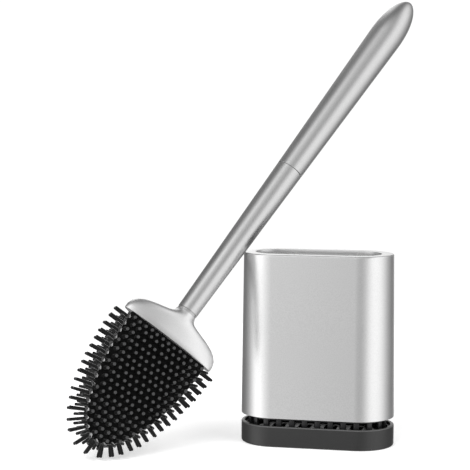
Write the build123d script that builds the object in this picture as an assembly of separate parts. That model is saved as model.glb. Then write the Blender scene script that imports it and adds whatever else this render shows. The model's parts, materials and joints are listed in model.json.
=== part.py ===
"""Silicone toilet brush leaning on its ventilated holder.

Row frame, in millimetres: the origin is on the floor at the centre of the holder's footprint,
+X along the holder's long side, +Y to the back, +Z up. Each piece is one node, written to parts/.

The brush is drawn in its own frame first: z = 0 at the seam of the handle, +Z up the handle,
X across the wide head, Y through its thickness, front at -Y. brush_place() then leans it on the rim.
"""
from build123d import *
from math import cos, degrees, pi, sin
import os

# ---------------------------------------------------------------- driving dimensions: holder
LENGTH = 106.0            # tray, long side
DEPTH = 50.2              # tray, short side: a full stadium, ends are half rounds
HEIGHT = 132.0            # floor to the top of the rim
DRAFT = 1.2               # the sleeve is this much smaller per side at the top than at its foot
TRAY_TOP = 14.5
VENT_TOP = 20.0           # the sleeve starts here, so the gap above the tray is 5.5 high
RIM_LAND = 8.4            # flat land between the rim's outer edge and the well
RIM_DEPTH = 2.4           # height of the rim collar
SLEEVE_WALL = 0.8
LINER_WALL = 1.2
TRAY_WALL = 2.4
CUP_WALL = 1.4
CUP_TOP = 12.6
PAD_PROUD = 0.2           # the non-slip pad stands this far out of the tray's underside
CAGE_INSET = 5.0          # outer face of the vent posts, in from the tray's edge
POST_WIDTH = 3.8
POST_DEPTH = 2.4
POST_PITCH = 9.2
SPIGOT_TOP = 30.0         # the cage's spigot reaches this high inside the liner
SPIGOT_WALL = 2.0
SLIDE_GAP = 0.3           # room between pieces that lift apart
GRID_TOP = 9.8
GRID_THICK = 1.6
GRID_LEDGE = 2.4          # the grid lies this far onto the cage's foot
GRID_ROOM = 0.4           # room round the grid inside the cage
GRID_SLOT = 3.0
GRID_SLOT_PITCH = 6.0
GRID_MARGIN = 3.5         # the slots stop this far from the grid's long sides
GRID_END_REACH = 6.0      # the slotted field runs this far into each rounded end

# ---------------------------------------------------------------- driving dimensions: brush
GRIP_LENGTH = 158.0       # seam to the tip of the grip
GRIP_TIP = 35.0           # length of the bullet-shaped end
GRIP_RADIUS_WIDE = 11.9
SEAM_RADIUS = 9.6
NECK_RADIUS = 7.4
NECK_AT = -124.0          # lower end of the handle tube
YOKE_FOOT = -148.0        # straight lower edge of the yoke
YOKE_WIDTH = 71.4
YOKE_THICK = 18.4
WASHER_THICK = 0.8
TUBE_WALL = 0.9
STUD_RADIUS = 4.0         # the M8 stud at the seam, drawn plain
NECK_STUD_RADIUS = 3.0    # the M6 stud at the neck, drawn plain
THREAD_GAP = 0.05         # running clearance of both studs, on the radius
STUD_REACH = 22.0         # length of each stud in the piece that screws onto it
PAD_HALF_WIDTH = 42.0     # silicone head with its bristles, at its wide upper end
PAD_LENGTH = 91.8
PAD_THICK = 28.4
PAD_TOP = -149.4
PAD_ROUND = 9.8           # rounding of its edge, front and back
PLUG_WIDTH = 62.0         # plain bar of silicone that fills the yoke
PLUG_THICK = 12.0
PLUG_TOP = -141.0
CORE_WIDTH = 40.0
CORE_THICK = 3.0
CORE_FOOT = -205.0
CORE_HEAD = -137.0
FLANGE_WIDTH = 52.0       # the core's flange, which screws up into the yoke
FLANGE_DEPTH = 8.0
SCREW_SPACING = 22.0

# ---------------------------------------------------------------- how the brush leans
LEAN = 41.4               # handle, from the vertical
LEAN_HEADING = 43.9       # compass of the lean, from +X towards +Y
HEAD_TURN = -19.0         # the head's turn about the handle
SEAM_X = -24.05           # the handle's seam, in plan
SEAM_Y = 18.0

os.makedirs("parts", exist_ok=True)


# ---------------------------------------------------------------- shared shapes
def stadium(inset, z):
    """The tray's outline, shrunk evenly by inset, lying at height z."""
    return Plane.XY.offset(z) * SlotOverall(LENGTH - 2 * inset, DEPTH - 2 * inset)


def slab(inset, z_low, z_high):
    """A solid stadium between two heights."""
    return extrude(stadium(inset, z_low), amount=z_high - z_low)


def ring(inset_outer, inset_inner, z_low, z_high):
    return slab(inset_outer, z_low, z_high) - slab(inset_inner, z_low - 1, z_high + 1)


def draft_inset(z):
    """How far the sleeve's outer face stands in from the tray's edge at height z."""
    return DRAFT * (z - VENT_TOP) / (HEIGHT - VENT_TOP)


def drafted_slab(inset, z_low, z_high):
    """A stadium that follows the sleeve's draft, inset from its outer face."""
    low = stadium(inset + draft_inset(z_low), z_low)
    high = stadium(inset + draft_inset(z_high), z_high)
    return loft(Sketch() + [low, high], ruled=True)


def turned(*outline):
    """A solid of revolution about Z from edges in the XZ plane that close along the axis."""
    return revolve(make_face(Curve() + list(outline)), axis=Axis.Z)


def rod(radius, z_low, z_high):
    return Pos(0, 0, z_low) * Cylinder(radius, z_high - z_low, align=(Align.CENTER, Align.CENTER, Align.MIN))


def edge_at(part, z):
    """Edges of a part that lie wholly at height z."""
    return part.edges().filter_by(lambda e: abs(e.bounding_box().min.Z - z) + abs(e.bounding_box().max.Z - z) < 1e-3)


# ---------------------------------------------------------------- tray body
WELL_INSET = DRAFT + RIM_LAND                   # the well's wall, in from the tray's edge
CUP_INSET = TRAY_WALL + 0.2
CUP_FLOOR = 3.6
CUP_BASE = 1.2                                  # thickness of the cup's floor
PAD_INSET = 7.0
PAD_TOP_Z = 1.5
FOOT_ROUND = 1.6
TRAY_EDGE_ROUND = 0.7


def make_non_slip_pad():
    """Rubber plate let into the tray's underside; the holder stands on it."""
    return slab(PAD_INSET, 0, PAD_TOP_Z)


def make_drip_tray():
    """Heavy moulded tray with a rounded foot and an eased top edge."""
    body = slab(0, PAD_PROUD, TRAY_TOP)
    body = fillet(edge_at(body, PAD_PROUD), FOOT_ROUND)
    body = fillet(edge_at(body, TRAY_TOP), TRAY_EDGE_ROUND)
    body -= slab(TRAY_WALL, CUP_FLOOR - CUP_BASE, TRAY_TOP + 1)
    return body - slab(PAD_INSET, 0, PAD_TOP_Z)


def make_drip_cup():
    """Thin cup that drops into the tray and collects the water."""
    return slab(CUP_INSET, CUP_FLOOR - CUP_BASE, CUP_TOP) - slab(CUP_INSET + CUP_WALL, CUP_FLOOR, CUP_TOP + 1)


def post_places():
    """Points and headings of the vent posts, evenly spaced round the cage."""
    middle = CAGE_INSET + POST_DEPTH / 2
    radius = DEPTH / 2 - middle
    straight = LENGTH - DEPTH
    lap = 2 * straight + 2 * pi * radius
    count = 2 * round(lap / POST_PITCH / 2)
    places = []
    for i in range(count):
        run = (i + 0.5) * lap / count
        if run < straight:
            places.append((run - straight / 2, -radius, 0))
            continue
        run -= straight
        if run < pi * radius:
            turn = run / radius - pi / 2
            places.append((straight / 2 + radius * cos(turn), radius * sin(turn), degrees(turn) + 90))
            continue
        run -= pi * radius
        if run < straight:
            places.append((straight / 2 - run, radius, 0))
            continue
        turn = (run - straight) / radius + pi / 2
        places.append((-straight / 2 + radius * cos(turn), radius * sin(turn), degrees(turn) + 90))
    return places


SPIGOT_INSET = WELL_INSET + SLIDE_GAP
CAGE_BORE = SPIGOT_INSET + SPIGOT_WALL
TIE_LOW = VENT_TOP - 1.8                        # underside of the tie ring on the posts
GRID_LOW = GRID_TOP - GRID_THICK


def make_cage_base_ring():
    """Foot of the vent cage: it fills the cup round the edge, and the drain grid lies on its ledge."""
    return ring(CUP_INSET + CUP_WALL, CAGE_BORE + GRID_LEDGE, CUP_FLOOR, GRID_LOW)


def make_vent_posts():
    """The cage's posts, which leave the air gap open between them."""
    post = Box(POST_WIDTH, POST_DEPTH, TIE_LOW - GRID_LOW, align=(Align.CENTER, Align.CENTER, Align.MIN))
    return [Pos(x, y, GRID_LOW) * Rot(0, 0, heading) * post for x, y, heading in post_places()]


def make_cage_top_ring():
    """Top of the cage: a tie ring that carries the sleeve, and a spigot that centres the liner."""
    return ring(CAGE_INSET, CAGE_BORE, TIE_LOW, VENT_TOP) + ring(SPIGOT_INSET, CAGE_BORE, VENT_TOP, SPIGOT_TOP)


def make_drain_grid():
    """Slotted plate; the bristles stand on it and drip through. It lifts out of the well."""
    inset = CAGE_BORE + GRID_ROOM
    plate = slab(inset, GRID_LOW, GRID_TOP)
    slot_length = DEPTH - 2 * inset - 2 * GRID_MARGIN
    across = LENGTH - DEPTH + 2 * GRID_END_REACH
    count = int(across / GRID_SLOT_PITCH) // 2
    cutter = Box(GRID_SLOT, slot_length, 4 * GRID_THICK)
    for i in range(-count, count + 1):
        plate -= Pos(i * GRID_SLOT_PITCH, 0, GRID_TOP) * cutter
    return plate


# ---------------------------------------------------------------- sleeve body
COLLAR_LOW = HEIGHT - RIM_DEPTH
FOOT_RING_TOP = VENT_TOP + 4
RIM_OUTER_ROUND = 0.9
RIM_INNER_ROUND = 0.6


def make_sleeve():
    """Drafted outer shell, open at both ends."""
    return drafted_slab(0, VENT_TOP, COLLAR_LOW) - drafted_slab(SLEEVE_WALL, VENT_TOP - 1, COLLAR_LOW + 1)


def make_rim_collar():
    """Flat rim that caps the sleeve, with a rounded outer edge and an eased inner one."""
    body = slab(draft_inset(COLLAR_LOW), COLLAR_LOW, HEIGHT)
    body = fillet(edge_at(body, HEIGHT), RIM_OUTER_ROUND)
    body -= slab(WELL_INSET, COLLAR_LOW - 1, HEIGHT + 1)
    well_side = DEPTH / 2 - WELL_INSET + 0.1
    inner_edge = [e for e in edge_at(body, HEIGHT)
                  if e.bounding_box().max.Y < well_side and e.bounding_box().min.Y > -well_side]
    return fillet(inner_edge, RIM_INNER_ROUND)


def make_inner_liner():
    """Smooth well that the brush head drops into."""
    return ring(WELL_INSET - LINER_WALL, WELL_INSET, VENT_TOP, COLLAR_LOW)


def make_sleeve_foot_ring():
    """Ring that joins sleeve and liner at the foot and stands on the vent posts."""
    gap_outer = drafted_slab(SLEEVE_WALL, VENT_TOP, FOOT_RING_TOP)
    return gap_outer - slab(WELL_INSET - LINER_WALL, VENT_TOP - 1, FOOT_RING_TOP + 1)


# ---------------------------------------------------------------- brush pieces, in the brush's own frame
BULLET_AT = GRIP_LENGTH - GRIP_TIP
GRIP_FOOT = WASHER_THICK
HOLLOW_TOP = GRIP_LENGTH - 6.0
STUD_SPARE = 6.0          # each threaded bore's body reaches this far past the stud
INSERT_TOP = STUD_REACH + STUD_SPARE
PLUG_DEPTH = 16.0         # depth of the plug that closes the top of the lower handle
STUD_ROOM = 0.2           # room round a stud where it only passes through
WASHER_INSET = 0.35
SEAL_INSET = 0.25


def make_grip():
    """Upper handle: it widens upwards and ends in a bullet. Hollow above its threaded insert."""
    bullet = Spline((GRIP_RADIUS_WIDE, 0, BULLET_AT), (11.2, 0, GRIP_LENGTH - 21), (8.8, 0, GRIP_LENGTH - 10.5),
                    (5.2, 0, GRIP_LENGTH - 3.6), (0, 0, GRIP_LENGTH),
                    tangents=[(0.02, 0, 1), (-1, 0, 0)])
    body = turned(Line((0, 0, GRIP_FOOT), (SEAM_RADIUS, 0, GRIP_FOOT)),
                  Line((SEAM_RADIUS, 0, GRIP_FOOT), (GRIP_RADIUS_WIDE, 0, BULLET_AT)),
                  bullet,
                  Line((0, 0, GRIP_LENGTH), (0, 0, GRIP_FOOT)))
    wide = GRIP_RADIUS_WIDE - TUBE_WALL
    hollow = turned(Line((0, 0, INSERT_TOP), (SEAM_RADIUS - TUBE_WALL, 0, INSERT_TOP)),
                    Line((SEAM_RADIUS - TUBE_WALL, 0, INSERT_TOP), (wide, 0, BULLET_AT)),
                    Line((wide, 0, BULLET_AT), (wide - 1.4, 0, BULLET_AT + 13)),
                    Line((wide - 1.4, 0, BULLET_AT + 13), (0, 0, HOLLOW_TOP)),
                    Line((0, 0, HOLLOW_TOP), (0, 0, INSERT_TOP)))
    return body - hollow - rod(SEAM_RADIUS - TUBE_WALL, GRIP_FOOT - 1, INSERT_TOP)


def make_grip_insert():
    """Threaded insert moulded into the grip's foot. Its thread is drawn as a plain bore."""
    return (rod(SEAM_RADIUS - TUBE_WALL, GRIP_FOOT, INSERT_TOP)
            - rod(STUD_RADIUS + THREAD_GAP, GRIP_FOOT - 1, STUD_REACH + 1))


def make_seam_washer():
    """Thin dark washer that shows as a line at the seam."""
    return rod(SEAM_RADIUS - WASHER_INSET, 0, WASHER_THICK) - rod(STUD_RADIUS + STUD_ROOM, -1, WASHER_THICK + 1)


def handle_radius(z):
    return SEAM_RADIUS + (NECK_RADIUS - SEAM_RADIUS) * z / NECK_AT


def cone(radius_offset, z_low, z_high):
    """A solid that follows the handle's taper, inside its surface by radius_offset."""
    low, high = handle_radius(z_low) - radius_offset, handle_radius(z_high) - radius_offset
    return turned(Line((0, 0, z_low), (low, 0, z_low)), Line((low, 0, z_low), (high, 0, z_high)),
                  Line((high, 0, z_high), (0, 0, z_high)), Line((0, 0, z_high), (0, 0, z_low)))


def make_handle_tube():
    return cone(0, NECK_AT, 0) - cone(TUBE_WALL, NECK_AT - 1, 1)


def make_upper_plug():
    """Plug in the top of the tube; it holds the seam stud."""
    return cone(TUBE_WALL, -PLUG_DEPTH, 0) - rod(STUD_RADIUS, -PLUG_DEPTH - 1, 1)


def make_seam_stud():
    """Steel stud that the grip screws onto."""
    return rod(STUD_RADIUS, -PLUG_DEPTH, STUD_REACH)


def make_lower_plug():
    """Threaded plug in the foot of the tube; the head screws into it."""
    return (cone(TUBE_WALL, NECK_AT, NECK_AT + STUD_REACH + STUD_SPARE)
            - rod(NECK_STUD_RADIUS + THREAD_GAP, NECK_AT - 1, NECK_AT + STUD_REACH + 1))


YOKE_TOP = NECK_AT - 2.0
STUD_ROOT = YOKE_TOP - 8  # lower end of the neck stud, fast in the yoke


def make_neck_seal():
    """Ring between the handle and the head."""
    body = rod(NECK_RADIUS - SEAL_INSET, YOKE_TOP, NECK_AT)
    return body - rod(NECK_STUD_RADIUS + STUD_ROOM, YOKE_TOP - 1, NECK_AT + 1)


def make_neck_stud():
    return rod(NECK_STUD_RADIUS, STUD_ROOT, NECK_AT + STUD_REACH)


YOKE_STATIONS = (         # height below the yoke's top, half width, half thickness
    (0.0, 7.8, 7.4),
    (3.4, 8.8, 8.0),
    (6.6, 15.2, 8.6),
    (9.0, 24.5, 9.0),
    (12.4, 32.6, YOKE_THICK / 2),
    (16.6, YOKE_WIDTH / 2 - 0.3, YOKE_THICK / 2),
    (22.0, YOKE_WIDTH / 2, YOKE_THICK / 2),
)
SCREW_RADIUS = 1.5
SCREW_TOP = CORE_HEAD + 5


def make_yoke():
    """Silver cap: a round neck that flares into broad rounded shoulders, with a pocket for the pad."""
    sections = [Plane.XY.offset(YOKE_TOP - drop) * SlotOverall(2 * half, 2 * thick)
                for drop, half, thick in YOKE_STATIONS]
    body = loft(Sketch() + sections)
    body -= Plane.XY.offset(YOKE_FOOT - 1) * extrude(SlotOverall(PLUG_WIDTH, PLUG_THICK),
                                                     amount=PLUG_TOP - YOKE_FOOT + 1)
    body -= Pos(0, 0, (CORE_HEAD + PLUG_TOP) / 2 - 0.5) * Box(FLANGE_WIDTH, FLANGE_DEPTH, CORE_HEAD - PLUG_TOP + 1)
    body -= rod(NECK_STUD_RADIUS, STUD_ROOT, YOKE_TOP + 1)
    for x in (-SCREW_SPACING / 2, SCREW_SPACING / 2):
        body -= Pos(x, 0, 0) * rod(SCREW_RADIUS, CORE_HEAD - 1, SCREW_TOP)
    return body


def make_pad_core():
    """Stiff plate inside the silicone, with a flange that screws up into the yoke."""
    web = Pos(0, 0, CORE_FOOT) * Box(CORE_WIDTH, CORE_THICK, PLUG_TOP - CORE_FOOT,
                                     align=(Align.CENTER, Align.CENTER, Align.MIN))
    flange = Pos(0, 0, PLUG_TOP) * Box(FLANGE_WIDTH, FLANGE_DEPTH, CORE_HEAD - PLUG_TOP,
                                       align=(Align.CENTER, Align.CENTER, Align.MIN))
    core = web + flange
    for x in (-SCREW_SPACING / 2, SCREW_SPACING / 2):
        core -= Pos(x, 0, 0) * rod(SCREW_RADIUS, PLUG_TOP - 1, CORE_HEAD + 1)
    return core


def make_core_screws():
    """Two screws that hold the core's flange to the yoke."""
    return [Pos(x, 0, 0) * rod(SCREW_RADIUS, PLUG_TOP + 1, SCREW_TOP)
            for x in (-SCREW_SPACING / 2, SCREW_SPACING / 2)]


def make_bristle_pad():
    """Outer shape of the silicone head with its bristles: a half ellipse with deeply rounded faces."""
    outline = Plane.XZ * Ellipse(PAD_HALF_WIDTH, PAD_LENGTH)
    body = extrude(outline, amount=PAD_THICK / 2, both=True)
    body &= Pos(0, 0, -PAD_LENGTH) * Box(4 * PAD_HALF_WIDTH, 2 * PAD_THICK, 2 * PAD_LENGTH)
    long_edges = body.edges().filter_by(lambda e: e.geom_type != GeomType.LINE)
    body = Pos(0, 0, PAD_TOP) * fillet(long_edges, PAD_ROUND)
    body += Plane.XY.offset(PAD_TOP - 1) * extrude(SlotOverall(PLUG_WIDTH, PLUG_THICK),
                                                   amount=PLUG_TOP - PAD_TOP + 1)
    return body - Pos(0, 0, CORE_FOOT) * Box(CORE_WIDTH, CORE_THICK, PLUG_TOP - CORE_FOOT + 1,
                                             align=(Align.CENTER, Align.CENTER, Align.MIN))


# ---------------------------------------------------------------- the leaning brush
def lean_turn():
    """The brush's turn: head turned about the handle, handle leaned, then swung to its heading."""
    return Rot(0, 0, LEAN_HEADING) * Rot(0, LEAN, 0) * Rot(0, 0, HEAD_TURN)


def brush_place():
    """Where the brush goes: leaned as it stands, then dropped until its bristles meet the floor."""
    lowest = (lean_turn() * make_bristle_pad()).bounding_box().min.Z
    return Pos(SEAM_X, SEAM_Y, -lowest) * lean_turn()


def write(name, shape, place=None):
    solids = shape if isinstance(shape, list) else [shape]
    if place is not None:
        solids = [place * s for s in solids]
    whole = Compound(children=[s for made in solids for s in made.solids()])
    whole.label = name
    export_step(whole, f"parts/{name}.step")


def main():
    write("non_slip_pad", make_non_slip_pad())
    write("drip_tray", make_drip_tray())
    write("drip_cup", make_drip_cup())
    write("cage_base_ring", make_cage_base_ring())
    write("vent_posts", make_vent_posts())
    write("cage_top_ring", make_cage_top_ring())
    write("drain_grid", make_drain_grid())
    write("sleeve", make_sleeve())
    write("rim_collar", make_rim_collar())
    write("inner_liner", make_inner_liner())
    write("sleeve_foot_ring", make_sleeve_foot_ring())
    place = brush_place()
    print("seam of the handle at", place.position, "turn", place.orientation)
    write("grip", make_grip(), place)
    write("grip_insert", make_grip_insert(), place)
    write("seam_washer", make_seam_washer(), place)
    write("handle_tube", make_handle_tube(), place)
    write("upper_plug", make_upper_plug(), place)
    write("seam_stud", make_seam_stud(), place)
    write("lower_plug", make_lower_plug(), place)
    write("neck_seal", make_neck_seal(), place)
    write("neck_stud", make_neck_stud(), place)
    write("yoke", make_yoke(), place)
    write("pad_core", make_pad_core(), place)
    write("core_screws", make_core_screws(), place)
    write("bristle_pad", make_bristle_pad(), place)


main()
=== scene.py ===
"""A silicone toilet brush leaning on its satin silver holder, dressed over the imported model.

The file follows the set as it is put together: camera and studio, then the holder from the floor up,
then the brush from its grip down to its bristles.
"""

import json
import math
import random

import bmesh
import bpy
from mathutils import Matrix, Vector


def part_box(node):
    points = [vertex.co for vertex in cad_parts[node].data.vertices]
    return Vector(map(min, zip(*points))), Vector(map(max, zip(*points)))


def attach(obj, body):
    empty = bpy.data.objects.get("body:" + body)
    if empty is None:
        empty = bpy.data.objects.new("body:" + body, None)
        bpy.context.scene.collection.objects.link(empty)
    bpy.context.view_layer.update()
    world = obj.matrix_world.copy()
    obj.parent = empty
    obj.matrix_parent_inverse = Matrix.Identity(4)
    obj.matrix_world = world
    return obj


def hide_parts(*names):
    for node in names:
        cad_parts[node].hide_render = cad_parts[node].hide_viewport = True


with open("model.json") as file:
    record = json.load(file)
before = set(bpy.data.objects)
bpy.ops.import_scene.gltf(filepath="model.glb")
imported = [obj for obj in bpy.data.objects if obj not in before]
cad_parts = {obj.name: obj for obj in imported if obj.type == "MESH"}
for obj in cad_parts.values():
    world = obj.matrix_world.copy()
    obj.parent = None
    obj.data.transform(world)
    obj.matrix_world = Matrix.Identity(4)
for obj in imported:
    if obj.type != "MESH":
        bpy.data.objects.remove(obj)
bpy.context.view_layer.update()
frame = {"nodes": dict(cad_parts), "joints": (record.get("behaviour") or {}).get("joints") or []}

# ------------------------------------------------------------------ camera
# A long lens, a little to the right of the holder's front and just above its rim.
CAMERA_SIDE = math.radians(11.7)
CAMERA_RISE = math.radians(5.43)
CAMERA_ROLL = math.radians(0.24)
CAMERA_DISTANCE = 1.1104
CAMERA_ACROSS = -0.0575       # aim point, along the view's own right
CAMERA_UP = 0.1431            # aim point, along the view's own up
CAMERA_LENS = 122.55

view_back = Vector((math.sin(CAMERA_SIDE) * math.cos(CAMERA_RISE),
                    -math.cos(CAMERA_SIDE) * math.cos(CAMERA_RISE),
                    math.sin(CAMERA_RISE)))
view_right = Vector((math.cos(CAMERA_SIDE), math.sin(CAMERA_SIDE), 0))
view_up = view_back.cross(view_right)
camera = bpy.data.objects.new("camera", bpy.data.cameras.new("camera"))
camera.data.lens = CAMERA_LENS
camera.data.clip_start = 0.05
camera.data.clip_end = 20
turned = Matrix((view_right, view_up, view_back)).transposed().to_4x4() @ Matrix.Rotation(CAMERA_ROLL, 4, "Z")
camera.matrix_world = Matrix.Translation(view_right * CAMERA_ACROSS + view_up * CAMERA_UP
                                         + view_back * CAMERA_DISTANCE) @ turned
bpy.context.scene.collection.objects.link(camera)
bpy.context.scene.camera = camera
bpy.context.scene.view_settings.view_transform = "Standard"

# ------------------------------------------------------------------ studio
# A round white floor in a white room. Metal sees the room as tall soft panels with darker gaps
# between them, as in a light tent with black flags: angles run from the camera's side, right is positive.
FLOOR_RADIUS = 0.55
FLOOR_GLOW = 0.42
ROOM_WHITE = 1.06
ROOM_PANELS = (               # angle, brightness
    (-180, 0.50), (-164, 0.30), (-150, 0.15), (-128, 0.20), (-112, 0.34), (-98, 0.75),
    (-84, 1.45), (-64, 1.62), (-50, 1.10), (-36, 0.82), (-20, 0.72), (-8, 0.50),
    (4, 0.42), (18, 0.62), (28, 1.00), (38, 1.28), (70, 1.22), (86, 0.85),
    (104, 0.45), (124, 0.22), (144, 0.20), (154, 0.60), (180, 0.66))
ROOM_TOP = 0.15
ROOF_FROM = 0.80              # the room darkens to its top from this height of the line of sight
PANEL_LEAN = 0.6              # how far the panels lean to the right as they rise
SET_MIDDLE = Vector((-0.03, 0, 0.12))


def link_chain(tree, *steps):
    """Links each (from socket, to socket) pair."""
    for a, b in steps:
        tree.links.new(a, b)


def make_floor():
    bm = bmesh.new()
    bmesh.ops.create_circle(bm, cap_ends=True, segments=128, radius=FLOOR_RADIUS)
    mesh = bpy.data.meshes.new("floor")
    bm.to_mesh(mesh)
    bm.free()
    paint = bpy.data.materials.new("white_floor")
    paint.use_nodes = True
    shader = paint.node_tree.nodes["Principled BSDF"]
    shader.inputs["Base Color"].default_value = (0.9, 0.9, 0.9, 1)
    shader.inputs["Roughness"].default_value = 0.9
    shader.inputs["Specular IOR Level"].default_value = 0.1
    shader.inputs["Emission Color"].default_value = (1, 1, 1, 1)
    shader.inputs["Emission Strength"].default_value = FLOOR_GLOW
    mesh.materials.append(paint)
    floor = bpy.data.objects.new("floor", mesh)
    floor.visible_glossy = False
    bpy.context.scene.collection.objects.link(floor)


def make_room():
    world = bpy.data.worlds.new("room")
    world.use_nodes = True
    bpy.context.scene.world = world
    tree = world.node_tree
    nodes = tree.nodes
    nodes.clear()
    place = nodes.new("ShaderNodeTexCoord")
    turn = nodes.new("ShaderNodeMapping")
    turn.vector_type = "VECTOR"
    turn.inputs["Rotation"].default_value[2] = math.pi / 2 - CAMERA_SIDE
    round_about = nodes.new("ShaderNodeTexGradient")
    round_about.gradient_type = "RADIAL"
    panels = nodes.new("ShaderNodeValToRGB")
    panels.color_ramp.interpolation = "EASE"
    stops = panels.color_ramp.elements
    brightest = max(value for angle, value in ROOM_PANELS)
    for i, (angle, value) in enumerate(ROOM_PANELS):
        stop = stops[i] if i < 1 else stops.new(angle / 360 + 0.5)
        stop.position = angle / 360 + 0.5
        stop.color = (value / brightest,) * 3 + (1,)
    stops.remove(stops[-1])
    split = nodes.new("ShaderNodeSeparateXYZ")
    above = nodes.new("ShaderNodeMath")
    above.operation = "MAXIMUM"
    above.inputs[1].default_value = 0.0
    rise = nodes.new("ShaderNodeMath")
    rise.operation = "ARCSINE"
    leaning = nodes.new("ShaderNodeMath")
    leaning.operation = "MULTIPLY_ADD"
    leaning.inputs[1].default_value = -PANEL_LEAN / (2 * math.pi)
    wrapped = nodes.new("ShaderNodeMath")
    wrapped.operation = "FRACT"
    height = nodes.new("ShaderNodeMapRange")
    height.interpolation_type = "SMOOTHSTEP"
    height.inputs["From Min"].default_value = ROOF_FROM
    height.inputs["From Max"].default_value = 1.0
    roof = nodes.new("ShaderNodeMix")
    roof.data_type = "RGBA"
    roof.inputs["B"].default_value = (ROOM_TOP / brightest,) * 3 + (1,)
    seen = nodes.new("ShaderNodeLightPath")
    room_light = nodes.new("ShaderNodeBackground")
    room_light.inputs["Strength"].default_value = brightest
    white = nodes.new("ShaderNodeBackground")
    white.inputs["Color"].default_value = (1, 1, 1, 1)
    white.inputs["Strength"].default_value = ROOM_WHITE
    choose = nodes.new("ShaderNodeMixShader")
    out = nodes.new("ShaderNodeOutputWorld")
    link_chain(tree,
               (place.outputs["Generated"], turn.inputs["Vector"]),
               (turn.outputs["Vector"], round_about.inputs["Vector"]),
               (place.outputs["Generated"], split.inputs["Vector"]),
               (split.outputs["Z"], above.inputs[0]),
               (above.outputs["Value"], rise.inputs[0]),
               (rise.outputs["Value"], leaning.inputs[0]),
               (round_about.outputs["Fac"], leaning.inputs[2]),
               (leaning.outputs["Value"], wrapped.inputs[0]),
               (wrapped.outputs["Value"], panels.inputs["Fac"]),
               (split.outputs["Z"], height.inputs["Value"]),
               (height.outputs["Result"], roof.inputs["Factor"]),
               (panels.outputs["Color"], roof.inputs["A"]),
               (roof.outputs["Result"], room_light.inputs["Color"]),
               (seen.outputs["Is Camera Ray"], choose.inputs["Fac"]),
               (room_light.outputs["Background"], choose.inputs[1]),
               (white.outputs["Background"], choose.inputs[2]),
               (choose.outputs["Shader"], out.inputs["Surface"]))


def make_softbox(name, side, rise, distance, width, height, power):
    """A rectangular light that faces the set, placed by angles from the camera's side of the room."""
    angle = CAMERA_SIDE + math.radians(side)
    away = Vector((math.sin(angle) * math.cos(math.radians(rise)),
                   -math.cos(angle) * math.cos(math.radians(rise)), math.sin(math.radians(rise))))
    light = bpy.data.lights.new(name, "AREA")
    light.shape = "RECTANGLE"
    light.size, light.size_y = width, height
    light.energy = power
    lamp = bpy.data.objects.new(name, light)
    lamp.location = SET_MIDDLE + away * distance
    lamp.rotation_mode = "QUATERNION"
    lamp.rotation_quaternion = away.to_track_quat("Z", "Y")
    lamp.visible_camera = False
    lamp.visible_glossy = False
    bpy.context.scene.collection.objects.link(lamp)


make_floor()
make_room()
make_softbox("softbox_left", -30, 30, 1.5, 0.8, 0.7, 13.0)
make_softbox("softbox_right", 50, 42, 1.6, 0.9, 0.9, 6.0)

# ------------------------------------------------------------------ drip tray
# Heavy tray of charcoal plastic with a fine moulded grain. Its foot is rounded, its top edge is eased,
# and a rubber plate is let into its underside.
tray_low, tray_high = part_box("drip_tray")
END_RADIUS = (tray_high.y - tray_low.y) / 2
HALF_STRAIGHT = (tray_high.x - tray_low.x) / 2 - END_RADIUS
TRAY_WALL = 0.0024
TRAY_FLOOR = 0.0024
TRAY_FOOT_ROUND = 0.0012
TRAY_EDGE_ROUND = 0.0007
THIN_EDGE_ROUND = 0.0004      # the inner edges of tray and cup
SWEEP_STEPS = 120


def sweep(profile, closed=True):
    """A round body spun from a profile of (radius, height) points. draw_out() then makes it a stadium."""
    bm = bmesh.new()
    half_step = math.pi / SWEEP_STEPS
    chain = [bm.verts.new((r * math.sin(half_step), -r * math.cos(half_step), z)) for r, z in profile]
    edges = [bm.edges.new(pair) for pair in zip(chain, chain[1:])]
    if closed:
        edges.append(bm.edges.new((chain[-1], chain[0])))
    bmesh.ops.spin(bm, geom=chain + edges, cent=(0, 0, 0), axis=(0, 0, 1), angle=2 * math.pi,
                   steps=SWEEP_STEPS, use_merge=True, use_duplicate=False)
    bmesh.ops.remove_doubles(bm, verts=bm.verts, dist=1e-7)
    return bm


def round_off(bm, radius, height, size, segments=4, finish=-1):
    """Rounds the ring of edges that the spin drew from one corner of the profile."""
    ring = [e for e in bm.edges
            if all(abs(v.co.z - height) < 1e-6 and abs(v.co.xy.length - radius) < 1e-6 for v in e.verts)]
    bmesh.ops.bevel(bm, geom=ring, offset=size, segments=segments, profile=0.5, affect="EDGES",
                    material=finish)


def draw_out(bm):
    """Moves the two halves of a round body apart along X, and closes what is open with flat faces."""
    for v in bm.verts:
        v.co.x += math.copysign(HALF_STRAIGHT, v.co.x)
    open_edges = [e for e in bm.edges if e.is_boundary]
    if open_edges:
        bmesh.ops.holes_fill(bm, edges=open_edges, sides=0)


def make_piece(bm, name, *materials, sharp=32):
    """The finished mesh as an object at the origin: outward normals, smooth but for its sharp edges."""
    bmesh.ops.recalc_face_normals(bm, faces=bm.faces)
    for face in bm.faces:
        face.smooth = True
    for edge in bm.edges:
        edge.smooth = edge.calc_face_angle(0) < math.radians(sharp)
    mesh = bpy.data.meshes.new(name)
    bm.to_mesh(mesh)
    bm.free()
    for material in materials:
        mesh.materials.append(material)
    piece = bpy.data.objects.new(name, mesh)
    bpy.context.scene.collection.objects.link(piece)
    return piece


def place_piece(piece, body, slot, *nodes):
    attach(piece, body)
    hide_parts(*nodes)


def new_finish(name, colour, rough, metal=0.0, specular=0.5):
    """A Principled material with plain values, to which grain is added."""
    made = bpy.data.materials.new(name)
    made.use_nodes = True
    shader = made.node_tree.nodes["Principled BSDF"]
    shader.inputs["Base Color"].default_value = (*colour, 1)
    shader.inputs["Roughness"].default_value = rough
    shader.inputs["Metallic"].default_value = metal
    shader.inputs["Specular IOR Level"].default_value = specular
    return made, made.node_tree, shader


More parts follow.
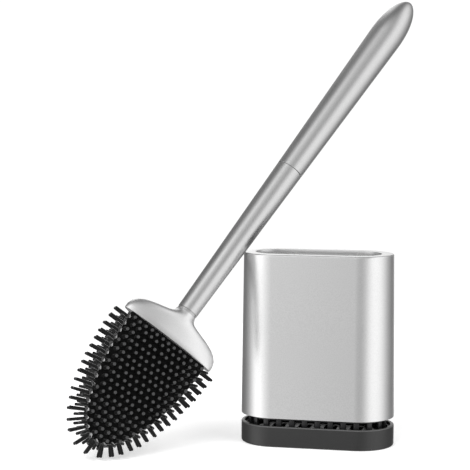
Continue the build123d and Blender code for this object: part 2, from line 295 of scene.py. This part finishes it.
def add_grain(tree, shader, scale, height, detail=3.0):
    """Fine grain in the surface: noise on Object coordinates that lifts it by height, in metres."""
    nodes = tree.nodes
    where = nodes.new("ShaderNodeTexCoord")
    noise = nodes.new("ShaderNodeTexNoise")
    noise.inputs["Scale"].default_value = scale
    noise.inputs["Detail"].default_value = detail
    bump = nodes.new("ShaderNodeBump")
    bump.inputs["Strength"].default_value = 1.0
    bump.inputs["Distance"].default_value = height
    link_chain(tree,
               (where.outputs["Object"], noise.inputs["Vector"]),
               (noise.outputs["Fac"], bump.inputs["Height"]),
               (bump.outputs["Normal"], shader.inputs["Normal"]))
    return where, noise


def vary_roughness(tree, shader, where, scale, low, high):
    """Slow patches of slightly different gloss, as handling leaves them."""
    nodes = tree.nodes
    patches = nodes.new("ShaderNodeTexNoise")
    patches.inputs["Scale"].default_value = scale
    patches.inputs["Detail"].default_value = 2.0
    spread = nodes.new("ShaderNodeMapRange")
    spread.inputs["From Min"].default_value = 0.3
    spread.inputs["From Max"].default_value = 0.7
    spread.inputs["To Min"].default_value = low
    spread.inputs["To Max"].default_value = high
    link_chain(tree,
               (where.outputs["Object"], patches.inputs["Vector"]),
               (patches.outputs["Fac"], spread.inputs["Value"]),
               (spread.outputs["Result"], shader.inputs["Roughness"]))


def vary_colour(tree, shader, source, dark, light):
    """Mixes two close shades by a pattern that is already there."""
    ramp = tree.nodes.new("ShaderNodeValToRGB")
    ramp.color_ramp.elements[0].position = 0.35
    ramp.color_ramp.elements[1].position = 0.65
    ramp.color_ramp.elements[0].color = (*dark, 1)
    ramp.color_ramp.elements[1].color = (*light, 1)
    link_chain(tree,
               (source.outputs["Fac"], ramp.inputs["Fac"]),
               (ramp.outputs["Color"], shader.inputs["Base Color"]))


def charcoal_plastic(name="charcoal_plastic", shade=0.016, rough=0.34):
    made, tree, shader = new_finish(name, (shade, shade, shade * 1.02), rough)
    where, noise = add_grain(tree, shader, 2600, 0.00002)
    vary_roughness(tree, shader, where, 60, rough - 0.03, rough + 0.04)
    vary_colour(tree, shader, noise, (shade * 0.85,) * 3, (shade * 1.2,) * 3)
    return made


def anti_slip_rubber():
    made, tree, shader = new_finish("anti_slip_rubber", (0.02, 0.02, 0.02), 0.75, specular=0.35)
    where, noise = add_grain(tree, shader, 1500, 0.00006)
    vary_colour(tree, shader, noise, (0.016, 0.016, 0.016), (0.026, 0.026, 0.026))
    return made


charcoal = charcoal_plastic()
charcoal_edge_highlight = charcoal_plastic("charcoal_edge_highlight", 0.075, 0.3)        # painted highlight: edges coloured a little lighter, for the light they catch
rubber = anti_slip_rubber()
pad_low, pad_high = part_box("non_slip_pad")
inner = END_RADIUS - TRAY_WALL
recess = (pad_high.y - pad_low.y) / 2
tray = sweep([(inner, TRAY_FLOOR), (inner, tray_high.z), (END_RADIUS, tray_high.z), (END_RADIUS, tray_low.z),
              (recess, tray_low.z), (recess, pad_high.z)], closed=False)
round_off(tray, END_RADIUS, tray_low.z, TRAY_FOOT_ROUND, 5)
# Painted highlight: the eased top edges take the lighter charcoal, coloured for the light they catch.
round_off(tray, END_RADIUS, tray_high.z, TRAY_EDGE_ROUND, finish=1)
round_off(tray, inner, tray_high.z, THIN_EDGE_ROUND, 3, finish=1)
draw_out(tray)
place_piece(make_piece(tray, "tray_shell", charcoal, charcoal_edge_highlight), "tray", "charcoal_plastic", "drip_tray")
frame["nodes"]["non_slip_pad"].material_slots[0].material = rubber

# ------------------------------------------------------------------ drip cup
# Thin black cup nested in the tray, which collects the water. Its rim is a second line inside the
# tray's edge.
CUP_WALL = 0.0014
CUP_BASE = 0.0012
cup_low, cup_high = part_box("drip_cup")


def black_plastic():
    made, tree, shader = new_finish("black_plastic", (0.012, 0.012, 0.013), 0.34)
    where, noise = add_grain(tree, shader, 1800, 0.000015)
    vary_roughness(tree, shader, where, 90, 0.28, 0.42)
    vary_colour(tree, shader, noise, (0.010, 0.010, 0.011), (0.015, 0.015, 0.016))
    return made


black = black_plastic()
cup_radius = (cup_high.y - cup_low.y) / 2
cup = sweep([(cup_radius - CUP_WALL, cup_low.z + CUP_BASE), (cup_radius - CUP_WALL, cup_high.z),
             (cup_radius, cup_high.z), (cup_radius, cup_low.z)], closed=False)
# Painted highlight: the cup's rim edges take the lighter charcoal, coloured for the light they catch.
for radius in (cup_radius, cup_radius - CUP_WALL):
    round_off(cup, radius, cup_high.z, THIN_EDGE_ROUND, 3, finish=1)
draw_out(cup)
place_piece(make_piece(cup, "cup_shell", black, charcoal_edge_highlight), "tray", "black_plastic", "drip_cup")

# ------------------------------------------------------------------ vent cage and drain grid
# One black moulding: a foot ring with a ledge for the grid, a ring of posts that keeps the air gap open,
# and a tie ring with the spigot that centres the sleeve.
POST_WIDTH = 0.0038
POST_DEPTH = 0.0024
POST_PITCH = 0.0092
POST_ROUND = 0.0006
SPIGOT_WALL = 0.0020
SPIGOT_ROUND = 0.0006
SPIGOT_GAP = 0.0003           # between the spigot and the well's wall, so that the sleeve lifts off
TIE_HEIGHT = 0.0018
LEDGE = 0.0024                # how far the foot ring reaches in under the grid
LINER_WALL = 0.0012
base_low, base_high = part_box("cage_base_ring")
top_low, top_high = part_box("cage_top_ring")
liner_low, liner_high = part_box("inner_liner")
well_radius = (liner_high.y - liner_low.y) / 2 - LINER_WALL
cage_radius = (top_high.y - top_low.y) / 2
foot_radius = (base_high.y - base_low.y) / 2
spigot_radius = well_radius - SPIGOT_GAP
bore_radius = spigot_radius - SPIGOT_WALL


def post_places():
    """Points and headings of the posts, evenly spaced round the cage."""
    radius = cage_radius - POST_DEPTH / 2
    lap = 4 * HALF_STRAIGHT + 2 * math.pi * radius
    count = 2 * round(lap / POST_PITCH / 2)
    for i in range(count):
        run = (i + 0.5) * lap / count
        side, run = divmod(run, lap / 2)
        flip = -1 if side else 1
        if run < 2 * HALF_STRAIGHT:
            yield flip * (run - HALF_STRAIGHT), -flip * radius, side * math.pi
        else:
            turn = (run - 2 * HALF_STRAIGHT) / radius - math.pi / 2
            x = HALF_STRAIGHT + radius * math.cos(turn)
            yield flip * x, flip * radius * math.sin(turn), side * math.pi + turn + math.pi / 2


def join(bm, other):
    """Adds all of another mesh under way to bm."""
    mesh = bpy.data.meshes.new("joined")
    other.to_mesh(mesh)
    other.free()
    bm.from_mesh(mesh)
    bpy.data.meshes.remove(mesh)


cage = sweep([(foot_radius, base_low.z), (foot_radius, base_high.z), (bore_radius - LEDGE, base_high.z),
              (bore_radius - LEDGE, base_low.z)])
tie_low = top_low.z
tie_top = tie_low + TIE_HEIGHT
upper = sweep([(cage_radius, tie_low), (cage_radius, tie_top), (spigot_radius, tie_top),
               (spigot_radius, top_high.z), (bore_radius, top_high.z), (bore_radius, tie_low)])
round_off(upper, spigot_radius, top_high.z, SPIGOT_ROUND, 3)
join(cage, upper)
draw_out(cage)
for x, y, heading in post_places():
    stands = Matrix.Translation((x, y, (base_high.z + tie_low) / 2)) @ Matrix.Rotation(heading, 4, "Z")
    made = bmesh.ops.create_cube(cage, size=1, matrix=stands @ Matrix.Diagonal(
        (POST_WIDTH, POST_DEPTH, tie_low - base_high.z, 1)))
    uprights = [e for e in {e for v in made["verts"] for e in v.link_edges}
                if abs(e.verts[0].co.z - e.verts[1].co.z) > 0.001]
    bmesh.ops.bevel(cage, geom=uprights, offset=POST_ROUND, segments=2, profile=0.5, affect="EDGES",
                    material=-1)
place_piece(make_piece(cage, "vent_cage", black), "tray", "black_plastic",
            "cage_base_ring", "vent_posts", "cage_top_ring")
frame["nodes"]["drain_grid"].material_slots[0].material = black

# ------------------------------------------------------------------ sleeve
# Thin steel shell in satin silver, a little narrower at the top. A fine grain breaks up its reflections.
SLEEVE_WALL = 0.0008
DRAFT = 0.0012                # how much narrower each side is at the top
SLEEVE_FOOT_ROUND = 0.0003
sleeve_low, sleeve_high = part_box("sleeve")
collar_low, collar_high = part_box("rim_collar")


def satin_silver(name="satin_silver", shade=0.80, rough=0.34):
    made, tree, shader = new_finish(name, (shade, shade, shade), rough, metal=1.0)
    where, noise = add_grain(tree, shader, 1500, 0.000012, detail=4.0)
    vary_roughness(tree, shader, where, 35, rough - 0.02, rough + 0.03)
    vary_colour(tree, shader, noise, (shade * 0.95,) * 3, (shade * 1.04,) * 3)
    return made


satin = satin_silver()
top_inset = DRAFT * (sleeve_high.z - sleeve_low.z) / (collar_high.z - sleeve_low.z)
top_radius = END_RADIUS - top_inset
shell = sweep([(END_RADIUS, sleeve_low.z), (top_radius, sleeve_high.z),
               (top_radius - SLEEVE_WALL, sleeve_high.z), (END_RADIUS - SLEEVE_WALL, sleeve_low.z)])
round_off(shell, END_RADIUS, sleeve_low.z, SLEEVE_FOOT_ROUND, 3)
draw_out(shell)
place_piece(make_piece(shell, "sleeve_shell", satin), "sleeve", "satin_steel", "sleeve")

# ------------------------------------------------------------------ rim collar
# Flat rim that joins sleeve and liner. Its outer edge is rolled over, its inner edge is eased.
RIM_OUTER_ROUND = 0.0009
RIM_INNER_ROUND = 0.0006
rim_radius = (collar_high.y - collar_low.y) / 2
rim = sweep([(rim_radius, collar_low.z), (rim_radius, collar_high.z), (well_radius, collar_high.z),
             (well_radius, collar_low.z)])
round_off(rim, rim_radius, collar_high.z, RIM_OUTER_ROUND, 6)
round_off(rim, well_radius, collar_high.z, RIM_INNER_ROUND, 5)
draw_out(rim)
place_piece(make_piece(rim, "rim", satin), "sleeve", "satin_steel", "rim_collar")

# ------------------------------------------------------------------ inner liner and foot ring
# The well's smooth bright wall, and the black ring that joins it to the sleeve at the foot.
ring_low, ring_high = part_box("sleeve_foot_ring")


def bright_silver():
    made, tree, shader = new_finish("bright_silver", (0.85, 0.85, 0.85), 0.26, metal=0.8)
    where, noise = add_grain(tree, shader, 260, 0.00001, detail=2.0)
    vary_roughness(tree, shader, where, 40, 0.22, 0.3)
    return made


bright = bright_silver()
liner = sweep([(well_radius, liner_low.z), (well_radius, liner_high.z),
               (well_radius + LINER_WALL, liner_high.z), (well_radius + LINER_WALL, liner_low.z)])
draw_out(liner)
place_piece(make_piece(liner, "well_liner", bright), "sleeve", "bright_liner", "inner_liner")
foot = sweep([(well_radius + LINER_WALL, ring_low.z), (END_RADIUS - SLEEVE_WALL, ring_low.z),
              (END_RADIUS - SLEEVE_WALL, ring_high.z), (well_radius + LINER_WALL, ring_high.z)])
draw_out(foot)
place_piece(make_piece(foot, "foot_ring", black), "sleeve", "black_plastic", "sleeve_foot_ring")

# ------------------------------------------------------------------ grip
# Upper handle of satin steel tube. It widens upwards and closes in a bullet; it screws onto the lower one.
# The brush's own frame has z = 0 at this seam, z up the handle and the head's front at -y.
joints = {j["name"]: j for j in frame["joints"]}
HEAD_TURN = math.radians(-19)
seam = Vector(joints["grip_turn"]["pos_m"])
handle_up = Vector(joints["grip_turn"]["axis"])
brush_place = (Matrix.Translation(seam)
               @ Matrix.Rotation(math.atan2(handle_up.y, handle_up.x), 4, "Z")
               @ Matrix.Rotation(handle_up.angle(Vector((0, 0, 1))), 4, "Y")
               @ Matrix.Rotation(HEAD_TURN, 4, "Z"))
WASHER_THICK = 0.0008
SEAM_RADIUS = 0.0096
WIDE_RADIUS = 0.0119
GRIP_LENGTH = 0.158
BULLET_LENGTH = 0.034
BULLET_STEPS = 22
FLARE_STEPS = 8
EDGE_EASE = 0.0001
LIP = 0.0005
SEAM_LINE = 0.0004            # the grip's foot reaches down over half of the washer's edge
TURNING_STEPS = 72


def turn_up(profile):
    """A solid of revolution about the handle's axis from (radius, height) points, in the brush's frame."""
    bm = bmesh.new()
    chain = [bm.verts.new((r, 0, z)) for r, z in profile]
    edges = [bm.edges.new(pair) for pair in zip(chain, chain[1:])]
    bmesh.ops.spin(bm, geom=chain + edges, cent=(0, 0, 0), axis=(0, 0, 1), angle=2 * math.pi,
                   steps=TURNING_STEPS, use_merge=True, use_duplicate=False)
    bmesh.ops.remove_doubles(bm, verts=bm.verts, dist=1e-7)
    return bm


def lean(bm):
    """Takes a mesh from the brush's own frame to where the brush leans."""
    bmesh.ops.transform(bm, matrix=brush_place, verts=bm.verts)
    return bm


def bullet_radius(share):
    """The bullet's radius, from its wide end at 0 to its tip at 1."""
    return WIDE_RADIUS * (1 - share ** 2.3) ** 0.56


bullet_at = GRIP_LENGTH - BULLET_LENGTH
handle_silver = satin_silver("handle_silver", 0.63, 0.35)
outline = [(0, WASHER_THICK), (SEAM_RADIUS - LIP, WASHER_THICK), (SEAM_RADIUS - LIP, SEAM_LINE),
           (SEAM_RADIUS - EDGE_EASE, SEAM_LINE), (SEAM_RADIUS, SEAM_LINE + EDGE_EASE)]
outline += [(SEAM_RADIUS + (WIDE_RADIUS - SEAM_RADIUS) * i / FLARE_STEPS, bullet_at * i / FLARE_STEPS)
            for i in range(1, FLARE_STEPS)]
for i in range(BULLET_STEPS):
    share = math.sin(i / BULLET_STEPS * math.pi / 2)
    outline.append((bullet_radius(share), bullet_at + BULLET_LENGTH * share))
outline.append((0, GRIP_LENGTH))
place_piece(make_piece(lean(turn_up(outline)), "grip_shell", handle_silver), "grip", "satin_steel", "grip")

# ------------------------------------------------------------------ seam washer and lower handle
# A thin dark washer shows at the seam. Below it the tube narrows down to the neck.
NECK_AT = -0.124
NECK_RADIUS = 0.0074
WASHER_SHY = 0.00005          # the washer's edge stands this far behind the grip's lip
TUBE_SHY = 0.00001
washer_radius = SEAM_RADIUS - LIP - WASHER_SHY
washer_grey = charcoal_plastic("washer_grey", 0.16, 0.45)
washer = turn_up([(0, 0), (washer_radius, 0), (washer_radius, WASHER_THICK), (0, WASHER_THICK)])
place_piece(make_piece(lean(washer), "seam_line", washer_grey), "seam_washer", "anti_slip_rubber",
            "seam_washer")
tube = turn_up([(0, 0), (SEAM_RADIUS - EDGE_EASE, 0), (SEAM_RADIUS - TUBE_SHY, -EDGE_EASE),
                (NECK_RADIUS, NECK_AT + EDGE_EASE), (NECK_RADIUS - EDGE_EASE, NECK_AT), (0, NECK_AT)])
place_piece(make_piece(lean(tube), "lower_handle", handle_silver), "handle", "satin_steel", "handle_tube")

# ------------------------------------------------------------------ neck ring
# Where the head screws on: a silver ring with two fine grooves.
SEAL_DEPTH = 0.002
RING_INSET = 0.00025
GROOVE = 0.00022
RIDGES = ((0.0003, 0.0008), (0.0012, 0.0017))       # each ridge's top and foot, below the ring's top
seal_low = NECK_AT - SEAL_DEPTH
ring_radius = NECK_RADIUS - RING_INSET
(upper_top, upper_foot), (lower_top, lower_foot) = RIDGES
neck = turn_up([(0, NECK_AT), (ring_radius - GROOVE, NECK_AT), (ring_radius, NECK_AT - upper_top),
                (ring_radius, NECK_AT - upper_foot), (ring_radius - GROOVE, NECK_AT - SEAL_DEPTH / 2),
                (ring_radius, NECK_AT - lower_top), (ring_radius, NECK_AT - lower_foot),
                (ring_radius - GROOVE, seal_low), (0, seal_low)])
place_piece(make_piece(lean(neck), "neck_ring", handle_silver, sharp=60), "neck_seal", "silver_plastic",
            "neck_seal")

# ------------------------------------------------------------------ yoke
# Silver lacquered cap that holds the silicone. A round neck flares into broad shoulders; the faces are
# slightly domed and the lower edge is straight.
YOKE_FOOT = -0.148
YOKE_HALF_WIDTH = 0.0363
YOKE_HALF_THICK = 0.0092
YOKE_STATIONS = (         # height below the neck ring, half width, half thickness, squareness of the section
    (0.0000, 0.00740, 0.0074, 2.0),
    (0.0010, 0.00760, 0.0075, 2.0),
    (0.0024, 0.00830, 0.0077, 2.0),
    (0.0036, 0.00980, 0.0079, 2.0),
    (0.0048, 0.01280, 0.0082, 2.0),
    (0.0060, 0.01720, 0.0084, 2.0),
    (0.0072, 0.02180, 0.0086, 2.0),
    (0.0084, 0.02540, 0.0088, 2.05),
    (0.0100, 0.02930, 0.0090, 2.1),
    (0.0122, 0.03260, 0.0091, 2.15),
    (0.0150, 0.03500, 0.0092, 2.2),
    (0.0185, YOKE_HALF_WIDTH, YOKE_HALF_THICK, 2.25),
    (0.0216, YOKE_HALF_WIDTH, YOKE_HALF_THICK, 2.25),
    (0.0220, YOKE_HALF_WIDTH - 0.0003, YOKE_HALF_THICK - 0.0003, 2.25),
)


def silver_lacquer():
    made, tree, shader = new_finish("silver_lacquer", (0.78, 0.78, 0.78), 0.36, metal=1.0)
    where, noise = add_grain(tree, shader, 1700, 0.000012, detail=4.0)
    vary_roughness(tree, shader, where, 45, 0.34, 0.40)
    vary_colour(tree, shader, noise, (0.75, 0.75, 0.75), (0.81, 0.81, 0.81))
    return made


def squared(angle, half_width, half_thick, power):
    """A point on an oval whose sides flatten as power rises from 2."""
    c, s = math.cos(angle), math.sin(angle)
    return (half_width * math.copysign(abs(c) ** (2 / power), c),
            half_thick * math.copysign(abs(s) ** (2 / power), s))


lacquer = silver_lacquer()
yoke = bmesh.new()
bmesh.ops.create_circle(yoke, cap_ends=True, segments=128, radius=1)
edges = yoke.edges[:]
for level in range(1, len(YOKE_STATIONS)):
    made = bmesh.ops.extrude_edge_only(yoke, edges=edges)["geom"]
    edges = [g for g in made if isinstance(g, bmesh.types.BMEdge) and g.is_boundary]
    for v in {v for e in edges for v in e.verts}:
        v.co.z = level
bmesh.ops.holes_fill(yoke, edges=edges, sides=0)
for v in yoke.verts:
    drop, half_width, half_thick, power = YOKE_STATIONS[round(v.co.z)]
    v.co.xy = squared(math.atan2(v.co.y, v.co.x), half_width, half_thick, power)
    v.co.z = seal_low - drop
place_piece(make_piece(lean(yoke), "yoke_cap", lacquer, sharp=50), "head", "silver_plastic", "yoke")

# ------------------------------------------------------------------ silicone head
# Soft black silicone on a stiff core: a half oval slab with rounded edges, covered with round-tipped
# bristles on both faces and in six rows round its edge.
PAD_TOP = -0.1494
PAD_HALF_WIDTH = 0.0314
PAD_LENGTH = 0.0824
PAD_HALF_THICK = 0.0044
PAD_EDGE_ROUND = 0.0010
BAR_HALF_WIDTH = 0.0306
BAR_HALF_THICK = 0.0046
BAR_OVERLAP = 0.0012          # how far the bar goes into the yoke and into the slab
BAR_DROP = 0.0005
BAR_ROUND = 0.0006
FACE_LENGTH = 0.0098
FACE_RADIUS = 0.00140
FACE_SUNK = 0.0003
FIRST_ROW_LEAN = -0.12        # the faces' bristles point this much down the slab
ROW_LEAN = -0.03
EDGE_LENGTH = 0.0106
EDGE_RADIUS = 0.00108
COLUMN_PITCH = 0.00470
ROW_PITCH = 0.00480
FIRST_ROW = 0.0018
EDGE_MARGIN = 0.0012
EDGE_PITCH = 0.0057
EDGE_INSET = PAD_HALF_THICK - 0.0010
EDGE_ROWS = (                 # slant, distance to the side, depth of the root, start, share of length, end
    (0.0, 0.0026, 0.0006, 0.0, 1.0, 1.0),
    (0.62, EDGE_INSET, 0.0008, EDGE_PITCH / 2, 0.66, 0.25),
    (1.3, EDGE_INSET, 0.0010, 0.0, 1.0, 1.0))
SIDE_WEAR = 0.30              # the edge's bristles are longer towards one side of the foot than the other
BRISTLE_SIDES = 8
# Each ring: share of length, width and tip value. The tip value lightens the colour there, a painted
# highlight on the tips.
BRISTLE_RINGS = ((0.45, 1, 0), (0.80, 1, 0), (0.94, 0.98, 0.35), (0.985, 0.78, 1), (1, 0.4, 1))
OUTLINE_END = 0.03            # radians of the slab's outline left free below the yoke at each side
OUTLINE_STEP = 0.002
rng = random.Random(7)


def black_silicone(name, shade, rough, gloss, lit_tip_shade=None):
    made, tree, shader = new_finish(name, (shade, shade, shade * 1.05), rough, specular=gloss)
    where, noise = add_grain(tree, shader, 900, 0.00002)
    vary_roughness(tree, shader, where, 120, rough - 0.05, rough + 0.05)
    if lit_tip_shade:
        # Painted highlight: the tip attribute lightens the colour towards the bristle tips, for the light
        # they catch.
        tip = tree.nodes.new("ShaderNodeAttribute")
        tip.attribute_name = "tip"
        ramp = tree.nodes.new("ShaderNodeValToRGB")
        ramp.color_ramp.elements[0].position = 0.3
        ramp.color_ramp.elements[0].color = (shade, shade, shade * 1.05, 1)
        ramp.color_ramp.elements[1].position = 0.95
        ramp.color_ramp.elements[1].color = (lit_tip_shade, lit_tip_shade, lit_tip_shade * 1.02, 1)
        link_chain(tree,
                   (tip.outputs["Fac"], ramp.inputs["Fac"]),
                   (ramp.outputs["Color"], shader.inputs["Base Color"]))
    else:
        vary_colour(tree, shader, noise, (shade * 0.8,) * 3, (shade * 1.2,) * 3)
    return made


def make_bristle(length, radius, taper, shaded_below):
    """One bristle along z from the origin, with a blunt tip. Each ring has its height, its width and the
    tip attribute, which rises to 1. Below the given share the bristle takes the second finish, as its foot
    stands in the shade of the others."""
    bm = bmesh.new()
    tip = bm.verts.layers.float.new("tip")
    bmesh.ops.create_circle(bm, cap_ends=True, segments=BRISTLE_SIDES, radius=radius)
    edges = bm.edges[:]
    for height, width, lightness in BRISTLE_RINGS:
        made = bmesh.ops.extrude_edge_only(bm, edges=edges)["geom"]
        edges = [g for g in made if isinstance(g, bmesh.types.BMEdge) and g.is_boundary]
        for v in {v for e in edges for v in e.verts}:
            v.co.xy *= width * (1 - taper * height) * radius / v.co.xy.length
            v.co.z = height * length
            v[tip] = lightness
    bmesh.ops.holes_fill(bm, edges=edges, sides=0)
    for face in bm.faces:
        face.material_index = int(face.calc_center_median().z < shaded_below * length)
    mesh = bpy.data.meshes.new("bristle")
    bm.to_mesh(mesh)
    bm.free()
    return mesh


def plant(bm, bristle, root, direction, length=1.0, wobble=0.04):
    """Adds one bristle at root, along direction, a little out of true."""
    aim = Vector(direction).normalized()
    aim += Vector([rng.uniform(-wobble, wobble) for _ in range(3)])
    place = Matrix.Translation(root) @ aim.to_track_quat("Z", "Y").to_matrix().to_4x4()
    first = len(bm.verts)
    bm.from_mesh(bristle)
    bm.verts.ensure_lookup_table()
    bmesh.ops.transform(bm, matrix=place @ Matrix.Diagonal((1, 1, length, 1)), verts=bm.verts[first:])


def half_width_at(drop):
    """Half width of the pad at a distance below its top."""
    return PAD_HALF_WIDTH * math.sqrt(max(0.0, 1 - (drop / PAD_LENGTH) ** 2))


def make_pad_body():
    """The slab: an ellipse cut at its widest, given its thickness and rounded all along its edge."""
    bm = bmesh.new()
    bm.verts.layers.float.new("tip")
    bmesh.ops.create_circle(bm, cap_ends=True, segments=144, radius=1)
    bmesh.ops.transform(bm, verts=bm.verts, matrix=Matrix.Rotation(math.pi / 2, 4, "X"))
    bmesh.ops.scale(bm, verts=bm.verts, vec=(PAD_HALF_WIDTH, 1, PAD_LENGTH))
    bmesh.ops.bisect_plane(bm, geom=bm.verts[:] + bm.edges[:] + bm.faces[:], plane_co=(0, 0, 0),
                           plane_no=(0, 0, 1), clear_outer=True)
    bmesh.ops.translate(bm, verts=bm.verts, vec=(0, -PAD_HALF_THICK, PAD_TOP))
    made = bmesh.ops.extrude_face_region(bm, geom=bm.faces[:])["geom"]
    bmesh.ops.translate(bm, verts=[g for g in made if isinstance(g, bmesh.types.BMVert)],
                        vec=(0, 2 * PAD_HALF_THICK, 0))
    rims = [e for e in bm.edges if abs(e.verts[0].co.y - e.verts[1].co.y) < 1e-6]
    rounding = bmesh.ops.bevel(bm, geom=rims, offset=PAD_EDGE_ROUND, segments=3, profile=0.5,
                               affect="EDGES", material=-1)["faces"]
    # Painted shade: the slab takes the darker, duller copy of the silicone, as it lies in the shade of the
    # bristles.
    for face in bm.faces:
        face.material_index = 1
    # Painted highlight: a strip of the rounded edge takes the light grey ridge silicone, for the light the
    # ridge catches.
    for face in rounding:
        if abs(face.normal.y) > 0.5 and abs(face.normal.y) < 0.87 and abs(face.normal.z) < 0.99:
            face.material_index = 2
    return bm


def add_bar(bm):
    """The plain bar of silicone between the slab and the yoke."""
    stands = Matrix.Translation((0, 0, (YOKE_FOOT + PAD_TOP) / 2 - BAR_DROP))
    size = Matrix.Diagonal((2 * BAR_HALF_WIDTH, 2 * BAR_HALF_THICK, YOKE_FOOT - PAD_TOP + 2 * BAR_OVERLAP, 1))
    made = bmesh.ops.create_cube(bm, size=1, matrix=stands @ size)
    edges = list({e for v in made["verts"] for e in v.link_edges})
    # Painted shade: the bar takes the darker, duller shaded copy of the silicone.
    for face in {f for v in made["verts"] for f in v.link_faces}:
        face.material_index = 1
    bmesh.ops.bevel(bm, geom=edges, offset=BAR_ROUND, segments=3, profile=0.5, affect="EDGES", material=-1)


def plant_faces(bm, bristle):
    """Staggered rows of bristles on both faces. The first row leans away from the yoke."""
    row = 0
    while True:
        drop = FIRST_ROW + row * ROW_PITCH
        reach = half_width_at(drop + EDGE_MARGIN) - EDGE_MARGIN
        if drop > PAD_LENGTH - EDGE_MARGIN or reach < 0.001:
            break
        shift = 0.5 * COLUMN_PITCH * (row % 2)
        count = int((reach + shift) / COLUMN_PITCH) + 1
        for column in range(-count, count + 1):
            x = column * COLUMN_PITCH + shift
            if abs(x) > reach:
                continue
            for side in (-1, 1):
                root = Vector((x, side * (PAD_HALF_THICK - FACE_SUNK), PAD_TOP - drop))
                plant(bm, bristle, root, (0, side, FIRST_ROW_LEAN if row == 0 else ROW_LEAN))
        row += 1


def outline_at(angle):
    """The point of the slab's outline at an angle round its ellipse."""
    return Vector((PAD_HALF_WIDTH * math.cos(angle), 0, -PAD_LENGTH * math.sin(angle)))


def edge_stations(start):
    """Points evenly spaced along the slab's outline, each with the direction straight out of it."""
    angle, lap, wanted = OUTLINE_END, 0.0, start
    while angle < math.pi - OUTLINE_END:
        at = outline_at(angle)
        if lap >= wanted:
            out = Vector((math.cos(angle) / PAD_HALF_WIDTH, 0, -math.sin(angle) / PAD_LENGTH))
            yield at, out.normalized()
            wanted += EDGE_PITCH
        angle += OUTLINE_STEP
        lap += (outline_at(angle) - at).length


def plant_edge(bm, bristle):
    """Six rows round the edge: two straight out side by side, and two slanted to each face. The less
    slanted of these stand between the others, along the fuller side and the foot only."""
    for slant, offset, sunk, start, share, end in EDGE_ROWS:
        for at, out in edge_stations(start):
            if out.x > end:
                continue
            for side in (-1, 1):
                root = at + Vector((0, side * offset, PAD_TOP)) - out * sunk
                aim = out * math.cos(slant) + Vector((0, side * math.sin(slant), 0))
                foot = max(0.0, -out.z)
                length = rng.uniform(0.97, 1.02) - SIDE_WEAR * out.x * math.sqrt(foot)
                plant(bm, bristle, root, aim, length * share, 0.03 + 0.04 * foot)


silicone = black_silicone("black_silicone", 0.006, 0.38, 0.35, lit_tip_shade=0.042)
# Painted shade: a darker, duller copy for the feet of the face bristles, the slab and the bar.
silicone_shaded = black_silicone("black_silicone_shaded", 0.004, 0.6, 0.06)
# Painted highlight: light grey silicone for the ridge strip along the slab's edge.
silicone_ridge_highlight = black_silicone("black_silicone_ridge_highlight", 0.10, 0.35, 0.5)
silicone_edge = black_silicone("black_silicone_edge", 0.004, 0.24, 0.22, lit_tip_shade=0.04)
head = bmesh.new()
plant_faces(head, make_bristle(FACE_LENGTH, FACE_RADIUS, 0.12, 0.92))
first_edge = len(head.faces)
plant_edge(head, make_bristle(EDGE_LENGTH, EDGE_RADIUS, 0.06, 0))
head.faces.ensure_lookup_table()
for face in head.faces[first_edge:]:
    face.material_index = 3
body = make_pad_body()
add_bar(body)
join(head, body)
silicone_head = make_piece(lean(head), "silicone_head", silicone, silicone_shaded, silicone_ridge_highlight,
                           silicone_edge, sharp=50)
silicone_head.visible_glossy = False
place_piece(silicone_head, "head", "black_silicone", "bristle_pad")

# ------------------------------------------------------------------ hidden hardware
# Threaded plugs, studs, the head's core and its screws stay as the model has them.


def plated_steel():
    made, tree, shader = new_finish("plated_steel", (0.56, 0.56, 0.57), 0.3, metal=1.0)
    where, noise = add_grain(tree, shader, 900, 0.00001)
    vary_roughness(tree, shader, where, 200, 0.24, 0.4)
    return made


def white_plastic():
    made, tree, shader = new_finish("white_plastic", (0.75, 0.75, 0.73), 0.45)
    where, noise = add_grain(tree, shader, 1400, 0.00001)
    vary_colour(tree, shader, noise, (0.72, 0.72, 0.70), (0.78, 0.78, 0.76))
    return made


steel = plated_steel()
core_white = white_plastic()
for node, finish in (("grip_insert", black), ("upper_plug", black), ("lower_plug", black),
                     ("seam_stud", steel), ("neck_stud", steel), ("core_screws", steel),
                     ("pad_core", core_white)):
    frame["nodes"][node].material_slots[0].material = finish
